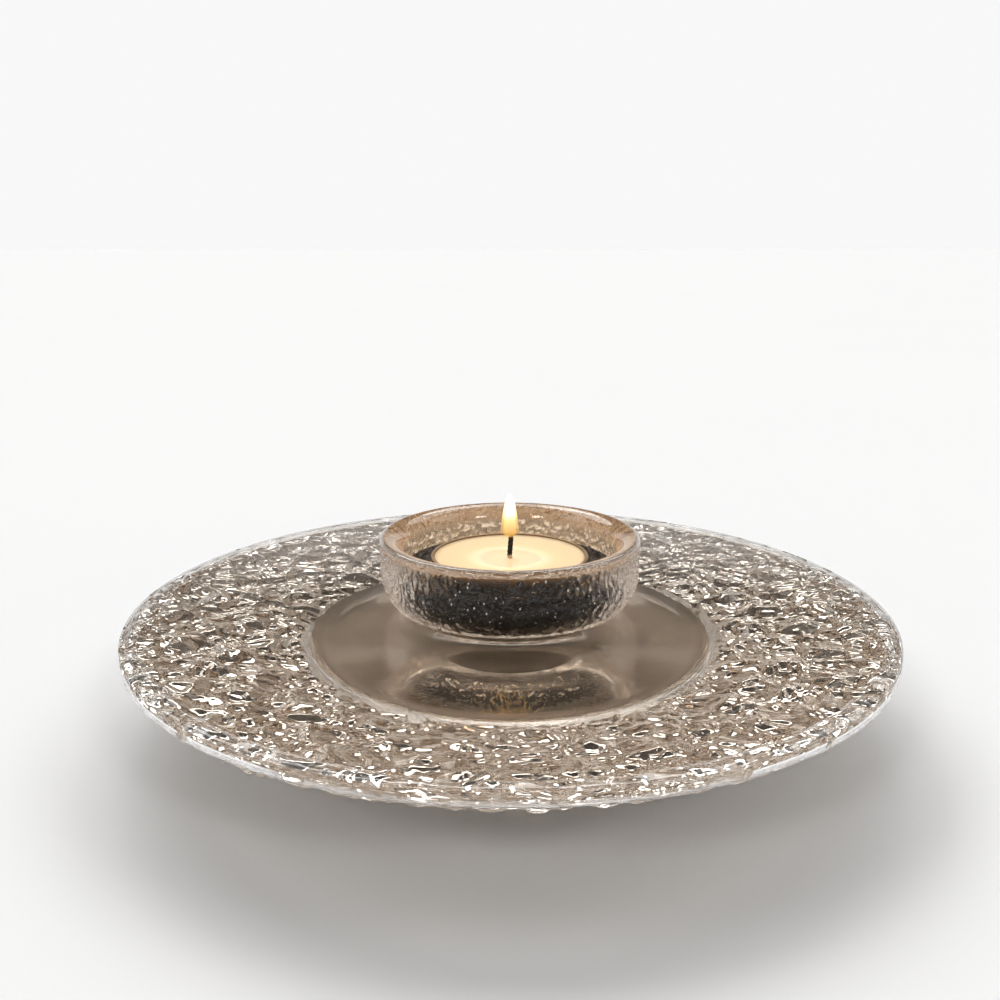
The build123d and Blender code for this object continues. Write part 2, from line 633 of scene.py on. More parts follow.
@dataclass(frozen=True)
class CottonWick(Finish):
    """Cotton soaked in wax at the foot and charred above."""

    wax_top: float
    title: str = "cotton_wick"
    soaked: Colour = (0.62, 0.47, 0.30)
    soaked_roughness: float = 0.55
    charred: Colour = (0.008, 0.007, 0.006)
    char_low: float = 0.2 * MM
    char_high: float = 0.9 * MM
    char_stray: float = 0.8 * MM
    char_haze: float = 0.35
    ash: Colour = (0.05, 0.045, 0.04)
    ash_low: float = 0.55
    ash_high: float = 0.75
    fibre: float = 0.25 * MM
    fibre_stretch: Triple = (1.0, 1.0, 3.0)
    fibre_depth: float = 0.1 * MM
    fibre_share: float = 0.6

    def dress(self, sheet: NodeSheet) -> None:
        """Char that climbs out of the wax, with ash on the fibres.

        Args:
            sheet: the sheet that the nodes go on.
        """
        fibre = sheet.mottle(self.fibre, Detail.FINE, self.fibre_stretch)
        height = sheet.height() + fibre.swing(self.char_stray)
        burnt = height.between(self.wax_top + self.char_low, self.wax_top + self.char_high)
        char = sheet.blend(fibre.between(self.ash_low, self.ash_high), self.charred, self.ash)
        sheet.surface(
            Base_Color=sheet.blend(burnt, self.soaked, char),
            Roughness=self.soaked_roughness + burnt * self.char_haze,
            Normal=sheet.bump(fibre, self.fibre_depth, self.fibre_share),
        )


@dataclass(frozen=True)
class FlameGlow(Finish):
    """A candle flame, amber and thin at the foot, almost white above."""

    title: str
    foot: float
    tip: float
    foot_colour: Colour
    waist_colour: Colour
    body_colour: Colour
    tip_colour: Colour
    strength: float
    foot_cover: float
    body_cover: float
    foot_share: float = 0.1
    waist_share: float = 0.42
    cover_share: float = 0.5
    body_share: float = 0.75
    flicker: float = 2.5 * MM
    flicker_reach: float = 0.08

    def dress(self, sheet: NodeSheet) -> None:
        """Colour and cover by height, with a slight flicker.

        Args:
            sheet: the sheet that the nodes go on.
        """
        flicker = sheet.mottle(self.flicker, Detail.SOFT).swing(self.flicker_reach)
        share = (sheet.height() - self.foot) / (self.tip - self.foot) + flicker
        stops = (
            (0.0, self.foot_colour),
            (self.foot_share, self.foot_colour),
            (self.waist_share, self.waist_colour),
            (self.body_share, self.body_colour),
            (1.0, self.tip_colour),
        )
        gain = self.body_cover - self.foot_cover
        sheet.surface(
            Base_Color=BLACK,
            Roughness=1.0,
            Specular_IOR_Level=0.0,
            Emission_Color=sheet.ramp(share, stops),
            Emission_Strength=self.strength,
            Alpha=share.between(0.0, self.cover_share) * gain + self.foot_cover,
        )


@dataclass(frozen=True)
class TinPlate(Finish):
    """Dull tinned steel."""

    title: str = "tin_plate"
    bright: Colour = (0.72, 0.71, 0.69)
    dull: Colour = (0.45, 0.43, 0.40)
    patch: float = 3 * MM
    grain: float = 0.3 * MM
    grain_depth: float = 0.02 * MM
    grain_share: float = 0.4
    polish: float = 0.3
    haze: float = 0.25

    def dress(self, sheet: NodeSheet) -> None:
        """Brushed grain with dull patches.

        Args:
            sheet: the sheet that the nodes go on.
        """
        patch = sheet.mottle(self.patch, Detail.ROUGH)
        sheet.surface(
            Base_Color=sheet.blend(patch, self.bright, self.dull),
            Metallic=1.0,
            Roughness=self.polish + patch * self.haze,
            Normal=sheet.bump(sheet.mottle(self.grain), self.grain_depth, self.grain_share),
        )


@dataclass(frozen=True)
class PaleFloor(Finish):
    """A plain pale table top."""

    title: str = "pale_floor"
    light: Colour = (0.95, 0.948, 0.945)
    shade: Colour = (0.93, 0.928, 0.925)
    cloud: float = 0.4
    roughness: float = 0.9
    sheen: float = 0.1

    def dress(self, sheet: NodeSheet) -> None:
        """An even, matt surface.

        Args:
            sheet: the sheet that the nodes go on.
        """
        sheet.surface(
            Base_Color=sheet.blend(sheet.mottle(self.cloud), self.light, self.shade),
            Roughness=self.roughness,
            Specular_IOR_Level=self.sheen,
        )


@dataclass(frozen=True)
class Corner:
    """One corner of a turned outline."""

    radius: float
    height: float
    fillet: float = 0.0
    step: float = 2.0 * MM

    @property
    def point(self) -> Vector:
        """The corner as a flat vector."""
        return Vector((self.radius, self.height))


def spread(start: Vector, end: Vector, step: float) -> list[Vector]:
    """Points from start to end, without end.

    Args:
        start: first point.
        end: the point to stop short of.
        step: largest distance between points.
    Returns:
        The points.
    """
    count = max(1, math.ceil((end - start).length / step - COUNT_SLACK))
    return [start.lerp(end, index / count) for index in range(count)]


def rounded(before: Corner, corner: Corner, after: Corner) -> list[Vector]:
    """The fillet arc at a corner.

    Args:
        before: the corner before.
        corner: the corner to round.
        after: the corner after.
    Returns:
        Points from the arc's start to its end.
    """
    back = (before.point - corner.point).normalized()
    ahead = (after.point - corner.point).normalized()
    half = back.angle(ahead) / 2
    reach = corner.fillet / math.tan(half)
    centre = corner.point + (back + ahead).normalized() * (corner.fillet / math.sin(half))
    first = corner.point + back * reach - centre
    turn = math.pi - 2 * half
    side = 1.0 if back.x * ahead.y - back.y * ahead.x < 0 else -1.0
    count = max(FEWEST_ARC_STEPS, math.ceil(corner.fillet * turn / corner.step))
    points = []
    for index in range(count + 1):
        angle = side * turn * index / count
        cosine, sine = math.cos(angle), math.sin(angle)
        spoke = Vector((first.x * cosine - first.y * sine, first.x * sine + first.y * cosine))
        points.append(centre + spoke)
    return points


def walk(corners: Sequence[Corner]) -> np.ndarray:
    """An outline through corners, with their fillets.

    Args:
        corners: the corners in order; a corner's step spaces the stretch that leads to it.
    Returns:
        Points as rows of distance from the axis and height.
    """
    points = [corners[0].point]
    last = len(corners) - 1
    for index, corner in enumerate(corners[1:], 1):
        if corner.fillet and index < last:
            bend = rounded(corners[index - 1], corner, corners[index + 1])
        else:
            bend = [corner.point]
        points += spread(points[-1], bend[0], corner.step)[1:]
        points += bend
    return np.array([tuple(point) for point in points])


def swept(before: Corner, start: Corner, end: Corner, share: float = 0.85) -> Corner:
    """The corner whose fillet sweeps from a straight stretch up to a point.

    Args:
        before: a corner earlier on the straight stretch.
        start: where the stretch ends.
        end: where the sweep ends.
        share: how much of the whole sweep is rounded.
    Returns:
        The corner between start and end.
    """
    ahead = (start.point - before.point).normalized()
    chord = end.point - start.point
    turn = ahead.angle(chord)
    corner = start.point + ahead * (chord.length / (2 * math.cos(turn)))
    return Corner(corner.x, corner.y, share * chord.length / (2 * math.sin(turn)), start.step)


def facing(outline: np.ndarray) -> np.ndarray:
    """Outward normals of an outline.

    Args:
        outline: points as rows, the solid on the right hand side.
    Returns:
        One unit normal for each point.
    """
    along = np.gradient(outline, axis=0)
    normals = np.column_stack((-along[:, 1], along[:, 0]))
    return normals / np.maximum(np.linalg.norm(normals, axis=1, keepdims=True), TINY)


def fade(values: np.ndarray, none: float, full: float) -> np.ndarray:
    """Smooth step from 0 at one value to 1 at another, whichever of them is larger."""
    share = np.clip((values - none) / (full - none), 0.0, 1.0)
    return share * share * (3.0 - 2.0 * share)


def revolved(rows: np.ndarray, angles: np.ndarray) -> np.ndarray:
    """Flat rows turned about Z.

    Args:
        rows: rows of distance from the axis and height.
        angles: the angles to turn them to.
    Returns:
        A grid of vectors, one line of it for each row.
    """
    across = np.outer(rows[:, 0], np.cos(angles))
    along = np.outer(rows[:, 0], np.sin(angles))
    return np.stack((across, along, np.repeat(rows[:, 1:], len(angles), axis=1)), axis=-1)


def shaped(name: str, points: Sequence[Sequence[float]], faces: Sequence[Sequence[int]]) -> bpy.types.Object:
    """A piece with smooth shading.

    Args:
        name: the piece's name.
        points: its points.
        faces: its faces, as numbers of points.
    Returns:
        The new object.
    """
    mesh = bpy.data.meshes.new(name)
    mesh.from_pydata(points, [], faces)
    mesh.polygons.foreach_set("use_smooth", np.ones(len(mesh.polygons), bool))
    mesh.update()
    piece = bpy.data.objects.new(name, mesh)
    bpy.context.scene.collection.objects.link(piece)
    return piece


def turned(name: str, outline: np.ndarray, segments: int, relief: Relief | None = None) -> bpy.types.Object:
    """A closed piece turned about Z.

    Args:
        name: the piece's name.
        outline: points from the axis round to the axis again, the solid on the right hand side.
        segments: how many steps go round.
        relief: gives how far each point moves along its normal.
    Returns:
        The new object.
    """
    angles = np.arange(segments) * (FULL_TURN / segments)
    points = revolved(outline[1:-1], angles)
    if relief is not None:
        outward = revolved(facing(outline)[1:-1], angles)
        points = points + outward * relief(points, outward)[..., None]
    count = len(outline) - 2
    grid = np.arange(count * segments).reshape(count, segments)
    beside = np.roll(grid, -1, axis=1)
    quads = np.stack((grid[:-1], grid[1:], beside[1:], beside[:-1]), -1).reshape(-1, 4)
    first, last = count * segments, count * segments + 1
    opening = [(first, a, b) for a, b in zip(grid[0].tolist(), beside[0].tolist())]
    closing = [(last, b, a) for a, b in zip(grid[-1].tolist(), beside[-1].tolist())]
    poles = [(0.0, 0.0, outline[0, 1]), (0.0, 0.0, outline[-1, 1])]
    return shaped(name, points.reshape(-1, 3).tolist() + poles, quads.tolist() + opening + closing)


def pressed(points: np.ndarray, share: np.ndarray, depth: Callable[[Vector], float]) -> np.ndarray:
    """How deep a relief is at each point of a piece.

    Args:
        points: points of the smooth piece.
        share: how much of the relief each point takes.
        depth: gives the full relief's depth at a place.
    Returns:
        The depth at each point.
    """
    deep = np.zeros(share.shape)
    for index in zip(*np.nonzero(share)):
        deep[index] = share[index] * depth(Vector(points[index]))
    return deep


def skin_by(piece: bpy.types.Object, choose: Callable[[Vector, Vector], int]) -> None:
    """Gives each face one of the piece's finishes.

    Args:
        piece: a piece with several finishes.
        choose: picks the finish from a face's centre and normal.
    """
    for face in piece.data.polygons:
        face.material_index = choose(face.center, face.normal)


def fit(piece: bpy.types.Object, body: Body, slot: str, finishes: Iterable[Finish], *nodes: str) -> None:
    """Dresses a piece and ties it to the frame.

    Args:
        piece: the piece.
        body: the body it rides on.
        slot: the record's material slot, which is not used.
        finishes: its finishes, in the order of its face indices.
        nodes: the CAD nodes that it stands for.
    """
    for finish in finishes:
        piece.data.materials.append(finish.material())
    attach(piece, body.value)
    if nodes:
        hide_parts(*nodes)
    LOG.info("%s: %d faces on %s", piece.name, len(piece.data.polygons), body.value)


@dataclass(frozen=True)
class PressedIce:
    """Pressed-ice relief: domed cells of mixed size with sharp creases, on a slow swell.

    Lengths other than the cell are in cells, and shares are of the depth.
    """

    cell: float
    depth: float
    drift_length: float = 1.7
    drift: float = 0.45
    facet_cell: float = 0.45
    facet_drift: float = 1.5
    dome_rise: float = 2.2
    dome_share: float = 0.55
    dome_power: float = 1.5
    facet_rise: float = 2.0
    facet_share: float = 0.35
    facet_power: float = 1.3
    swell_length: float = 2.4
    swell_share: float = 0.25

    def below(self, point: Vector) -> float:
        """How far the surface lies below its highest points.

        Args:
            point: where on the surface.
        Returns:
            The depth there.
        """
        drift = noise.noise_vector(point / (self.cell * self.drift_length)) * self.drift
        large = noise.voronoi(point / self.cell + drift)[0]
        small = noise.voronoi(point / (self.cell * self.facet_cell) + drift * self.facet_drift)[0]
        dome = min(1.0, (large[1] - large[0]) * self.dome_rise)
        facet = min(1.0, (small[1] - small[0]) * self.facet_rise)
        share = self.dome_share * (1 - dome) ** self.dome_power
        share += self.facet_share * (1 - facet) ** self.facet_power
        share += self.swell_share * noise.noise(point / (self.cell * self.swell_length))
        return self.depth * share


@dataclass
class GlassBowl:
    """The shallow bowl: smooth inside, rippled under its flange, with a smooth round well."""

    foot_radius: float = 18.5 * MM
    foot_round: float = 12 * MM
    well_radius: float = 50 * MM
    well_rise: float = 5.5 * MM
    shoulder_width: float = 6 * MM
    shoulder_drop: float = 2.5 * MM
    floor: float = 5 * MM
    wall: float = 4.5 * MM
    brow_round: float = 3 * MM
    heel_round: float = 2 * MM
    lip_width: float = 3.5 * MM
    lip_round: float = 1.55 * MM
    edge_depth: float = 5 * MM
    edge_setback: float = 1.5 * MM
    edge_land: float = 3 * MM
    land_round: float = 2 * MM
    setback_round: float = 1.5 * MM
    mark_width: float = 11 * MM
    mark_depth: float = 1.5 * MM
    mark_spacing: float = 12 * MM
    mark_margin: float = 7 * MM
    ice: PressedIce = PressedIce(cell=9 * MM, depth=2.3 * MM)
    ice_start: float = -0.5 * MM
    ice_full: float = 1.5 * MM
    ice_margin: float = 2.5 * MM
    # A face is part of the underside where its normal points further down than this.
    underside: float = -0.3
    wave: float = 0.35 * MM
    wave_length: float = 4.5 * MM
    wave_start: float = 5.6 * MM
    wave_full: float = 2.8 * MM
    floor_step: float = 1.2 * MM
    brow_step: float = 0.8 * MM
    bank_step: float = 2.5 * MM
    edge_step: float = 0.4 * MM
    flange_step: float = 0.5 * MM
    base_step: float = 0.8 * MM
    foot_step: float = 4 * MM
    segments: int = 900
    radius: float = field(init=False)
    height: float = field(init=False)
    shore: float = field(init=False)

    def __post_init__(self) -> None:
        """Takes the overall size and the water's level from the frame."""
        _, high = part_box("bowl")
        self.radius = high.x
        self.height = high.z
        self.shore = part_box("water")[1].z

    def base(self, lift: float, step: float) -> tuple[Corner, Corner]:
        """The gently rising part of the well, inside or outside.

        Args:
            lift: height of its flat middle.
            step: spacing of its points.
        Returns:
            Its inner and outer ends.
        """
        rise = self.well_rise - self.shoulder_drop
        middle = Corner(self.foot_radius, lift, self.foot_round, step)
        return middle, Corner(self.well_radius - self.shoulder_width, lift + rise, step=step)

    @property
    def flange_slope(self) -> float:
        """How steeply the underside of the flange rises."""
        rise = self.height - self.edge_depth - self.well_rise
        return math.atan2(rise, self.radius - self.edge_setback - self.well_radius)

    def inside(self) -> list[Corner]:
        """The inside of the bowl.

        Returns:
            Corners from the axis out to the lip.
        """
        brow = Corner(
            self.well_radius - self.wall * math.sin(self.flange_slope),
            self.well_rise + self.wall * math.cos(self.flange_slope),
            self.brow_round,
            self.brow_step,
        )
        middle, outer = self.base(self.floor, self.floor_step)
        lip = Corner(self.radius - self.lip_width, self.height, self.lip_round, self.bank_step)
        return [Corner(0, self.floor), middle, swept(middle, outer, brow), brow, lip]

    def outside(self) -> list[Corner]:
        """The outside of the bowl.

        Returns:
            Corners from the lip down to the axis.
        """
        land = self.height - self.edge_land
        setback = self.radius - self.edge_setback
        heel = Corner(self.well_radius, self.well_rise, self.heel_round, self.flange_step)
        middle, outer = self.base(0.0, self.base_step)
        return [
            Corner(self.radius, self.height, self.lip_round, self.edge_step),
            Corner(self.radius, land, self.land_round, self.edge_step),
            Corner(setback, self.height - self.edge_depth, self.setback_round, self.edge_step),
            heel,
            swept(middle, outer, heel),
            middle,
            Corner(0, 0, step=self.foot_step),
        ]

    def marks(self, points: np.ndarray) -> np.ndarray:
        """Depth of the hammer marks, which lie along a golden-angle spiral as in the solid.

        Args:
            points: points of the smooth bowl.
        Returns:
            How deep the nearest mark is at each point.
        """
        first = self.well_radius + self.mark_margin
        last = self.radius - self.edge_setback - self.mark_margin
        area = last**2 - first**2
        count = round(math.pi * area / self.mark_spacing**2)
        number = np.arange(count)
        reach = np.sqrt(first**2 + area * number / (count - 1))
        turn = number * GOLDEN_ANGLE
        height = self.well_rise + (reach - self.well_radius) * math.tan(self.flange_slope)
        centres = np.column_stack((reach * np.cos(turn), reach * np.sin(turn), height))
        nearest = np.full(points.shape[:-1], self.mark_width / 2)
        for centre in centres:
            nearest = np.minimum(nearest, np.linalg.norm(points - centre, axis=-1))
        curve = (self.mark_width**2 / 4 + self.mark_depth**2) / (2 * self.mark_depth)
        return np.sqrt(curve**2 - nearest**2) - (curve - self.mark_depth)

    def lip_wave(self, place: Vector) -> float:
        """Depth of the slight wave along the lip."""
        return self.wave * (0.5 + noise.noise(place / self.wave_length))

    def relief(self, points: np.ndarray, normals: np.ndarray) -> np.ndarray:
        """Hammer marks and finer relief under the flange, and a slight wave along the lip.

        Args:
            points: points of the smooth bowl.
            normals: their outward normals.
        Returns:
            How far each point moves along its normal.
        """
        reach = np.linalg.norm(points[..., :2], axis=-1)
        under = fade(reach, self.well_radius + self.ice_start, self.well_radius + self.ice_full)
        under *= fade(reach, self.radius, self.radius - self.ice_margin)
        under *= normals[..., 2] < self.underside
        lip = fade(reach, self.radius - self.wave_start, self.radius - self.wave_full)
        lip *= fade(points[..., 2], self.height - self.edge_depth, self.height - self.edge_land)
        deep = under * self.marks(points) + pressed(points, under, self.ice.below)
        return -deep - pressed(points, lip, self.lip_wave)

    def finishes(self) -> tuple[Finish, ...]:
        """The bowl's finishes.

        Returns:
            The finishes in the order of BowlSkin.
        """
        smooth = ClearGlass("bowl_glass_smooth", pale=(0.92, 0.90, 0.88), deep=(0.86, 0.83, 0.80))
        # Painted see-through: the rippled, wet and well tints stand in for a brown table seen through the
        # glass, near black under the flange where it looks darkest.
        rippled = ClearGlass(
            "bowl_glass_rippled",
            pale=(0.15, 0.12, 0.092),
            deep=(0.07, 0.054, 0.041),
            ripple_depth=0.05 * MM,
            ripple_share=0.15,
            polish=0.0,
            haze=0.01,
            refraction=2.5,
        )
        wet = ClearGlass(
            "bowl_glass_wet",
            pale=(0.70, 0.62, 0.54),
            deep=(0.60, 0.525, 0.45),
            refraction=smooth.refraction / StillWater.refraction,
        )
        well = ClearGlass(
            "bowl_glass_well",
            pale=(0.96, 0.82, 0.67),
            deep=(0.84, 0.70, 0.56),
            streak=14 * MM,
        )
        return smooth, rippled, wet, well

    def skin(self, centre: Vector, normal: Vector) -> BowlSkin:
        """Rippled under the flange, wet inside, a warm tint under the well that paints in the brown table
        seen through it, smooth elsewhere.

        Args:
            centre: a face's centre.
            normal: the face's normal.
        Returns:
            The finish that the face takes.
        """
        reach = math.hypot(centre.x, centre.y)
        if normal.z < 0 and self.well_radius < reach < self.radius - self.edge_setback:
            return BowlSkin.RIPPLED
        if normal.z > 0 and centre.z < self.shore and reach < self.radius - self.lip_width:
            return BowlSkin.WET
        return BowlSkin.WELL if reach < self.well_radius else BowlSkin.SMOOTH

    def build(self) -> bpy.types.Object:
        """The bowl as one closed piece, dressed.

        Returns:
            The new object.
        """
        outline = walk(self.inside() + self.outside())
        piece = turned("glass_bowl", outline, self.segments, self.relief)
        skin_by(piece, self.skin)
        fit(piece, Body.BOWL, "bowl_glass", self.finishes(), "bowl")
        return piece


@dataclass
class FloatingDish:
    """The thick glass dish: round underneath, rippled side, lip that slopes inwards, near-black low inside
    as painted shade.
    """

    curve: float = 10.5 * MM
    wall: float = 5.8 * MM
    floor: float = 2.6 * MM
    corner: float = 5.0 * MM
    edge_round: float = 1.2 * MM
    crest_width: float = 0.01 * MM
    ice: PressedIce = PressedIce(cell=2.3 * MM, depth=0.65 * MM)
    drip: float = 1.5
    band: float = 2.6 * MM
    band_fade: float = 1.2 * MM
    clear_edge: float = 0.8 * MM
    clear_lip: float = 2.2 * MM
    # Height up to which the cavity's glass is near-black: painted shade.
    painted_shade_line: float = 11.0 * MM
    # A face lies level where its normal points further up than this.
    level: float = 0.5
    floor_step: float = 0.8 * MM
    slope_step: float = 0.4 * MM
    edge_step: float = 0.2 * MM
    side_step: float = 0.3 * MM
    base_step: float = 2 * MM
    segments: int = 576
    radius: float = field(init=False)
    base: float = field(init=False)
    top: float = field(init=False)

    def __post_init__(self) -> None:
        """Takes the overall size from the frame."""
        low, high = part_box("floating_dish")
        self.radius = high.x
        self.base = low.z
        self.top = high.z

    def outline(self) -> np.ndarray:
        """The dish's outline.

        Returns:
            Points from the middle of the cavity's floor round to the middle of the base.
        """
        cavity = self.radius - self.wall
        slope_round = self.wall - self.edge_round - self.crest_width
        return walk(
            [
                Corner(0, self.base + self.floor),
                Corner(cavity, self.base + self.floor, self.corner, self.floor_step),
                Corner(cavity, self.top, slope_round, self.slope_step),
                Corner(self.radius, self.top, self.edge_round, self.edge_step),
                Corner(self.radius, self.base, self.curve, self.side_step),
                Corner(0, self.base, step=self.base_step),
            ]
        )

    def drips(self, place: Vector) -> float:
        """Depth of the relief on the side, drawn out downwards."""
        return self.ice.below(Vector((place.x, place.y, place.z / self.drip)))

    def relief(self, points: np.ndarray, normals: np.ndarray) -> np.ndarray:
        """Drip-like relief on the side between the smooth lip and the smooth bottom.

        Args:
            points: points of the smooth dish.
            normals: their outward normals.
        Returns:
            How far each point moves along its normal.
        """
        reach = np.linalg.norm(points[..., :2], axis=-1)
        heights = points[..., 2]
        low = self.base + self.band
        side = fade(heights, low, low + self.band_fade)
        side *= fade(heights, self.top - self.clear_edge, self.top - self.clear_lip)
        side *= reach > self.radius - self.wall / 2
        return -pressed(points, side, self.drips)

    def finishes(self) -> tuple[Finish, ...]:
        """The dish's finishes.

        Returns:
            The finishes in the order of DishSkin.
        """
        smooth = ClearGlass("dish_glass_smooth", pale=(0.93, 0.91, 0.89), deep=(0.88, 0.85, 0.82))
        rippled = GlintSpeckGlass(
            "dish_glass_rippled",
            pale=(0.90, 0.83, 0.77),
            deep=(0.72, 0.64, 0.57),
            streak=4 * MM,
            grain=0.8 * MM,
            ripple_depth=0.28 * MM,
            ripple_share=0.8,
            polish=0.0,
            haze=0.01,
        )
        # Painted shade: near-black glass low in the cavity, for the dark seen there round and under the
        # tealight.
        painted_shade = ClearGlass(
            "dish_glass_painted_shade",
            pale=(0.022, 0.018, 0.015),
            deep=(0.010, 0.008, 0.007),
            refraction=1.36,
        )
        # Painted flame light on the cavity's wall above the painted shade: a warm orange tint and a warm
        # glow.
        lit = PaintedFlameLightGlass(
            "dish_glass_painted_flame_light",
            pale=(0.97, 0.74, 0.48),
            deep=(0.82, 0.50, 0.24),
            streak=2.5 * MM,
            stretch=(4.0, 4.0, 0.4),
            glow_low=self.top - self.wall + self.edge_round,
            glow_high=self.top - self.clear_lip,
        )
        return smooth, rippled, painted_shade, lit

    def skin(self, centre: Vector, normal: Vector) -> DishSkin:
        """Rippled round the side, near-black low in the cavity as painted shade, painted flame light above
        that, smooth elsewhere.

        Args:
            centre: a face's centre.
            normal: the face's normal.
        Returns:
            The finish that the face takes.
        """
        rise = centre.z - self.base
        inward = centre.x * normal.x + centre.y * normal.y < 0
        # Painted shade low in the cavity.
        if rise < self.painted_shade_line and (inward or normal.z > self.level):
            return DishSkin.PAINTED_SHADE
        # Painted flame light on the cavity's wall above the painted shade.
        if inward:
            return DishSkin.PAINTED_FLAME_LIGHT
        rippled = self.band < rise < self.top - self.base - self.clear_lip
        return DishSkin.RIPPLED if rippled else DishSkin.SMOOTH

    def build(self) -> bpy.types.Object:
        """The dish as one closed piece, dressed.

        Returns:
            The new object.
        """
        piece = turned("floating_glass_dish", self.outline(), self.segments, self.relief)
        skin_by(piece, self.skin)
        fit(piece, Body.DISH, "dish_glass", self.finishes(), "floating_dish")
        return piece


@dataclass
class WaterFill:
    """The water: fills the bowl, and climbs the glass a little where it meets it."""

    bowl: GlassBowl
    dish: FloatingDish
    overlap: float = 0.05 * MM
    climb: float = 0.6 * MM
    bank_climb: float = 0.35 * MM
    fall_off: float = 2.0 * MM
    curved_width: float = 16 * MM
    open_margin: float = 18 * MM
    hollow_rows: int = 40
    dish_rows: int = 36
    open_rows: int = 12
    bank_rows: int = 30
    segments: int = 288
    level: float = field(init=False)

    def __post_init__(self) -> None:
        """Takes the water level from the frame."""
        _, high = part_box("water")
        self.level = high.z

    def hollow(self) -> list[Vector]:
        """The water's face under the dish.

        Returns:
            Points from the axis out to where the water leaves the dish.
        """
        centre = Vector((self.dish.radius - self.dish.curve, self.dish.base + self.dish.curve))
        last_turn = math.acos((centre.y - self.level - self.climb) / self.dish.curve)
        reach = self.dish.curve - self.overlap
        points = [Vector((0, centre.y - reach))]
        for turn in np.linspace(0, last_turn, self.hollow_rows):
            points.append(centre + Vector((math.sin(turn), -math.cos(turn))) * reach)
        return points

    def surface(self, near: float, far: float) -> list[Vector]:
        """Points across the surface, with the climb at the dish and at the bank.

        Args:
            near: where the water meets the dish.
            far: where the water meets the bowl.
        Returns:
            The points, from the dish outwards.
        """
        dish_side = near + np.linspace(0, 1, self.dish_rows) ** 2 * self.curved_width
        middle = np.linspace(near + self.open_margin, far - self.open_margin, self.open_rows)
        bank_side = far - np.linspace(1, 0, self.bank_rows) ** 2 * self.curved_width
        points = []
        for reach in np.concatenate((dish_side, middle, bank_side)):
            lift = self.climb * math.exp(-(reach - near) / self.fall_off)
            lift += self.bank_climb * math.exp(-(far - reach) / self.fall_off)
            points.append(Vector((reach, self.level + lift)))
        return points

    def outline(self) -> np.ndarray:
        """The water's outline.

        Returns:
            Points from under the dish, across the surface and down the bowl to the middle of its floor.
        """
        edge = self.level + self.bank_climb
        bank = walk(self.bowl.inside() + self.bowl.outside()[:2])
        bank = bank - facing(bank) * self.overlap
        wet = bank[(bank[:, 1] < edge) & (bank[:, 0] > 0)][::-1]
        slope = (wet[0] - wet[1]) / (wet[0, 1] - wet[1, 1])
        shore = wet[0] + slope * (edge - wet[0, 1])
        hollow = self.hollow()
        top = self.surface(hollow[-1].x, float(shore[0]))
        rows = [tuple(point) for point in hollow[:-1] + top] + [tuple(row) for row in wet]
        return np.array(rows + [(0.0, self.bowl.floor - self.overlap)])

    def skin(self, centre: Vector, normal: Vector) -> WaterSkin:
        """The bed where the water faces down on the bowl, open elsewhere."""
        return WaterSkin.BED if normal.z < 0 else WaterSkin.OPEN

    def build(self) -> bpy.types.Object:
        """The water as one closed piece, dressed.

        Returns:
            The new object.
        """
        piece = turned("still_water_fill", self.outline(), self.segments)
        skin_by(piece, self.skin)
        fit(piece, Body.WATER, "water", (StillWater(), WaterBed()), "water")
        return piece


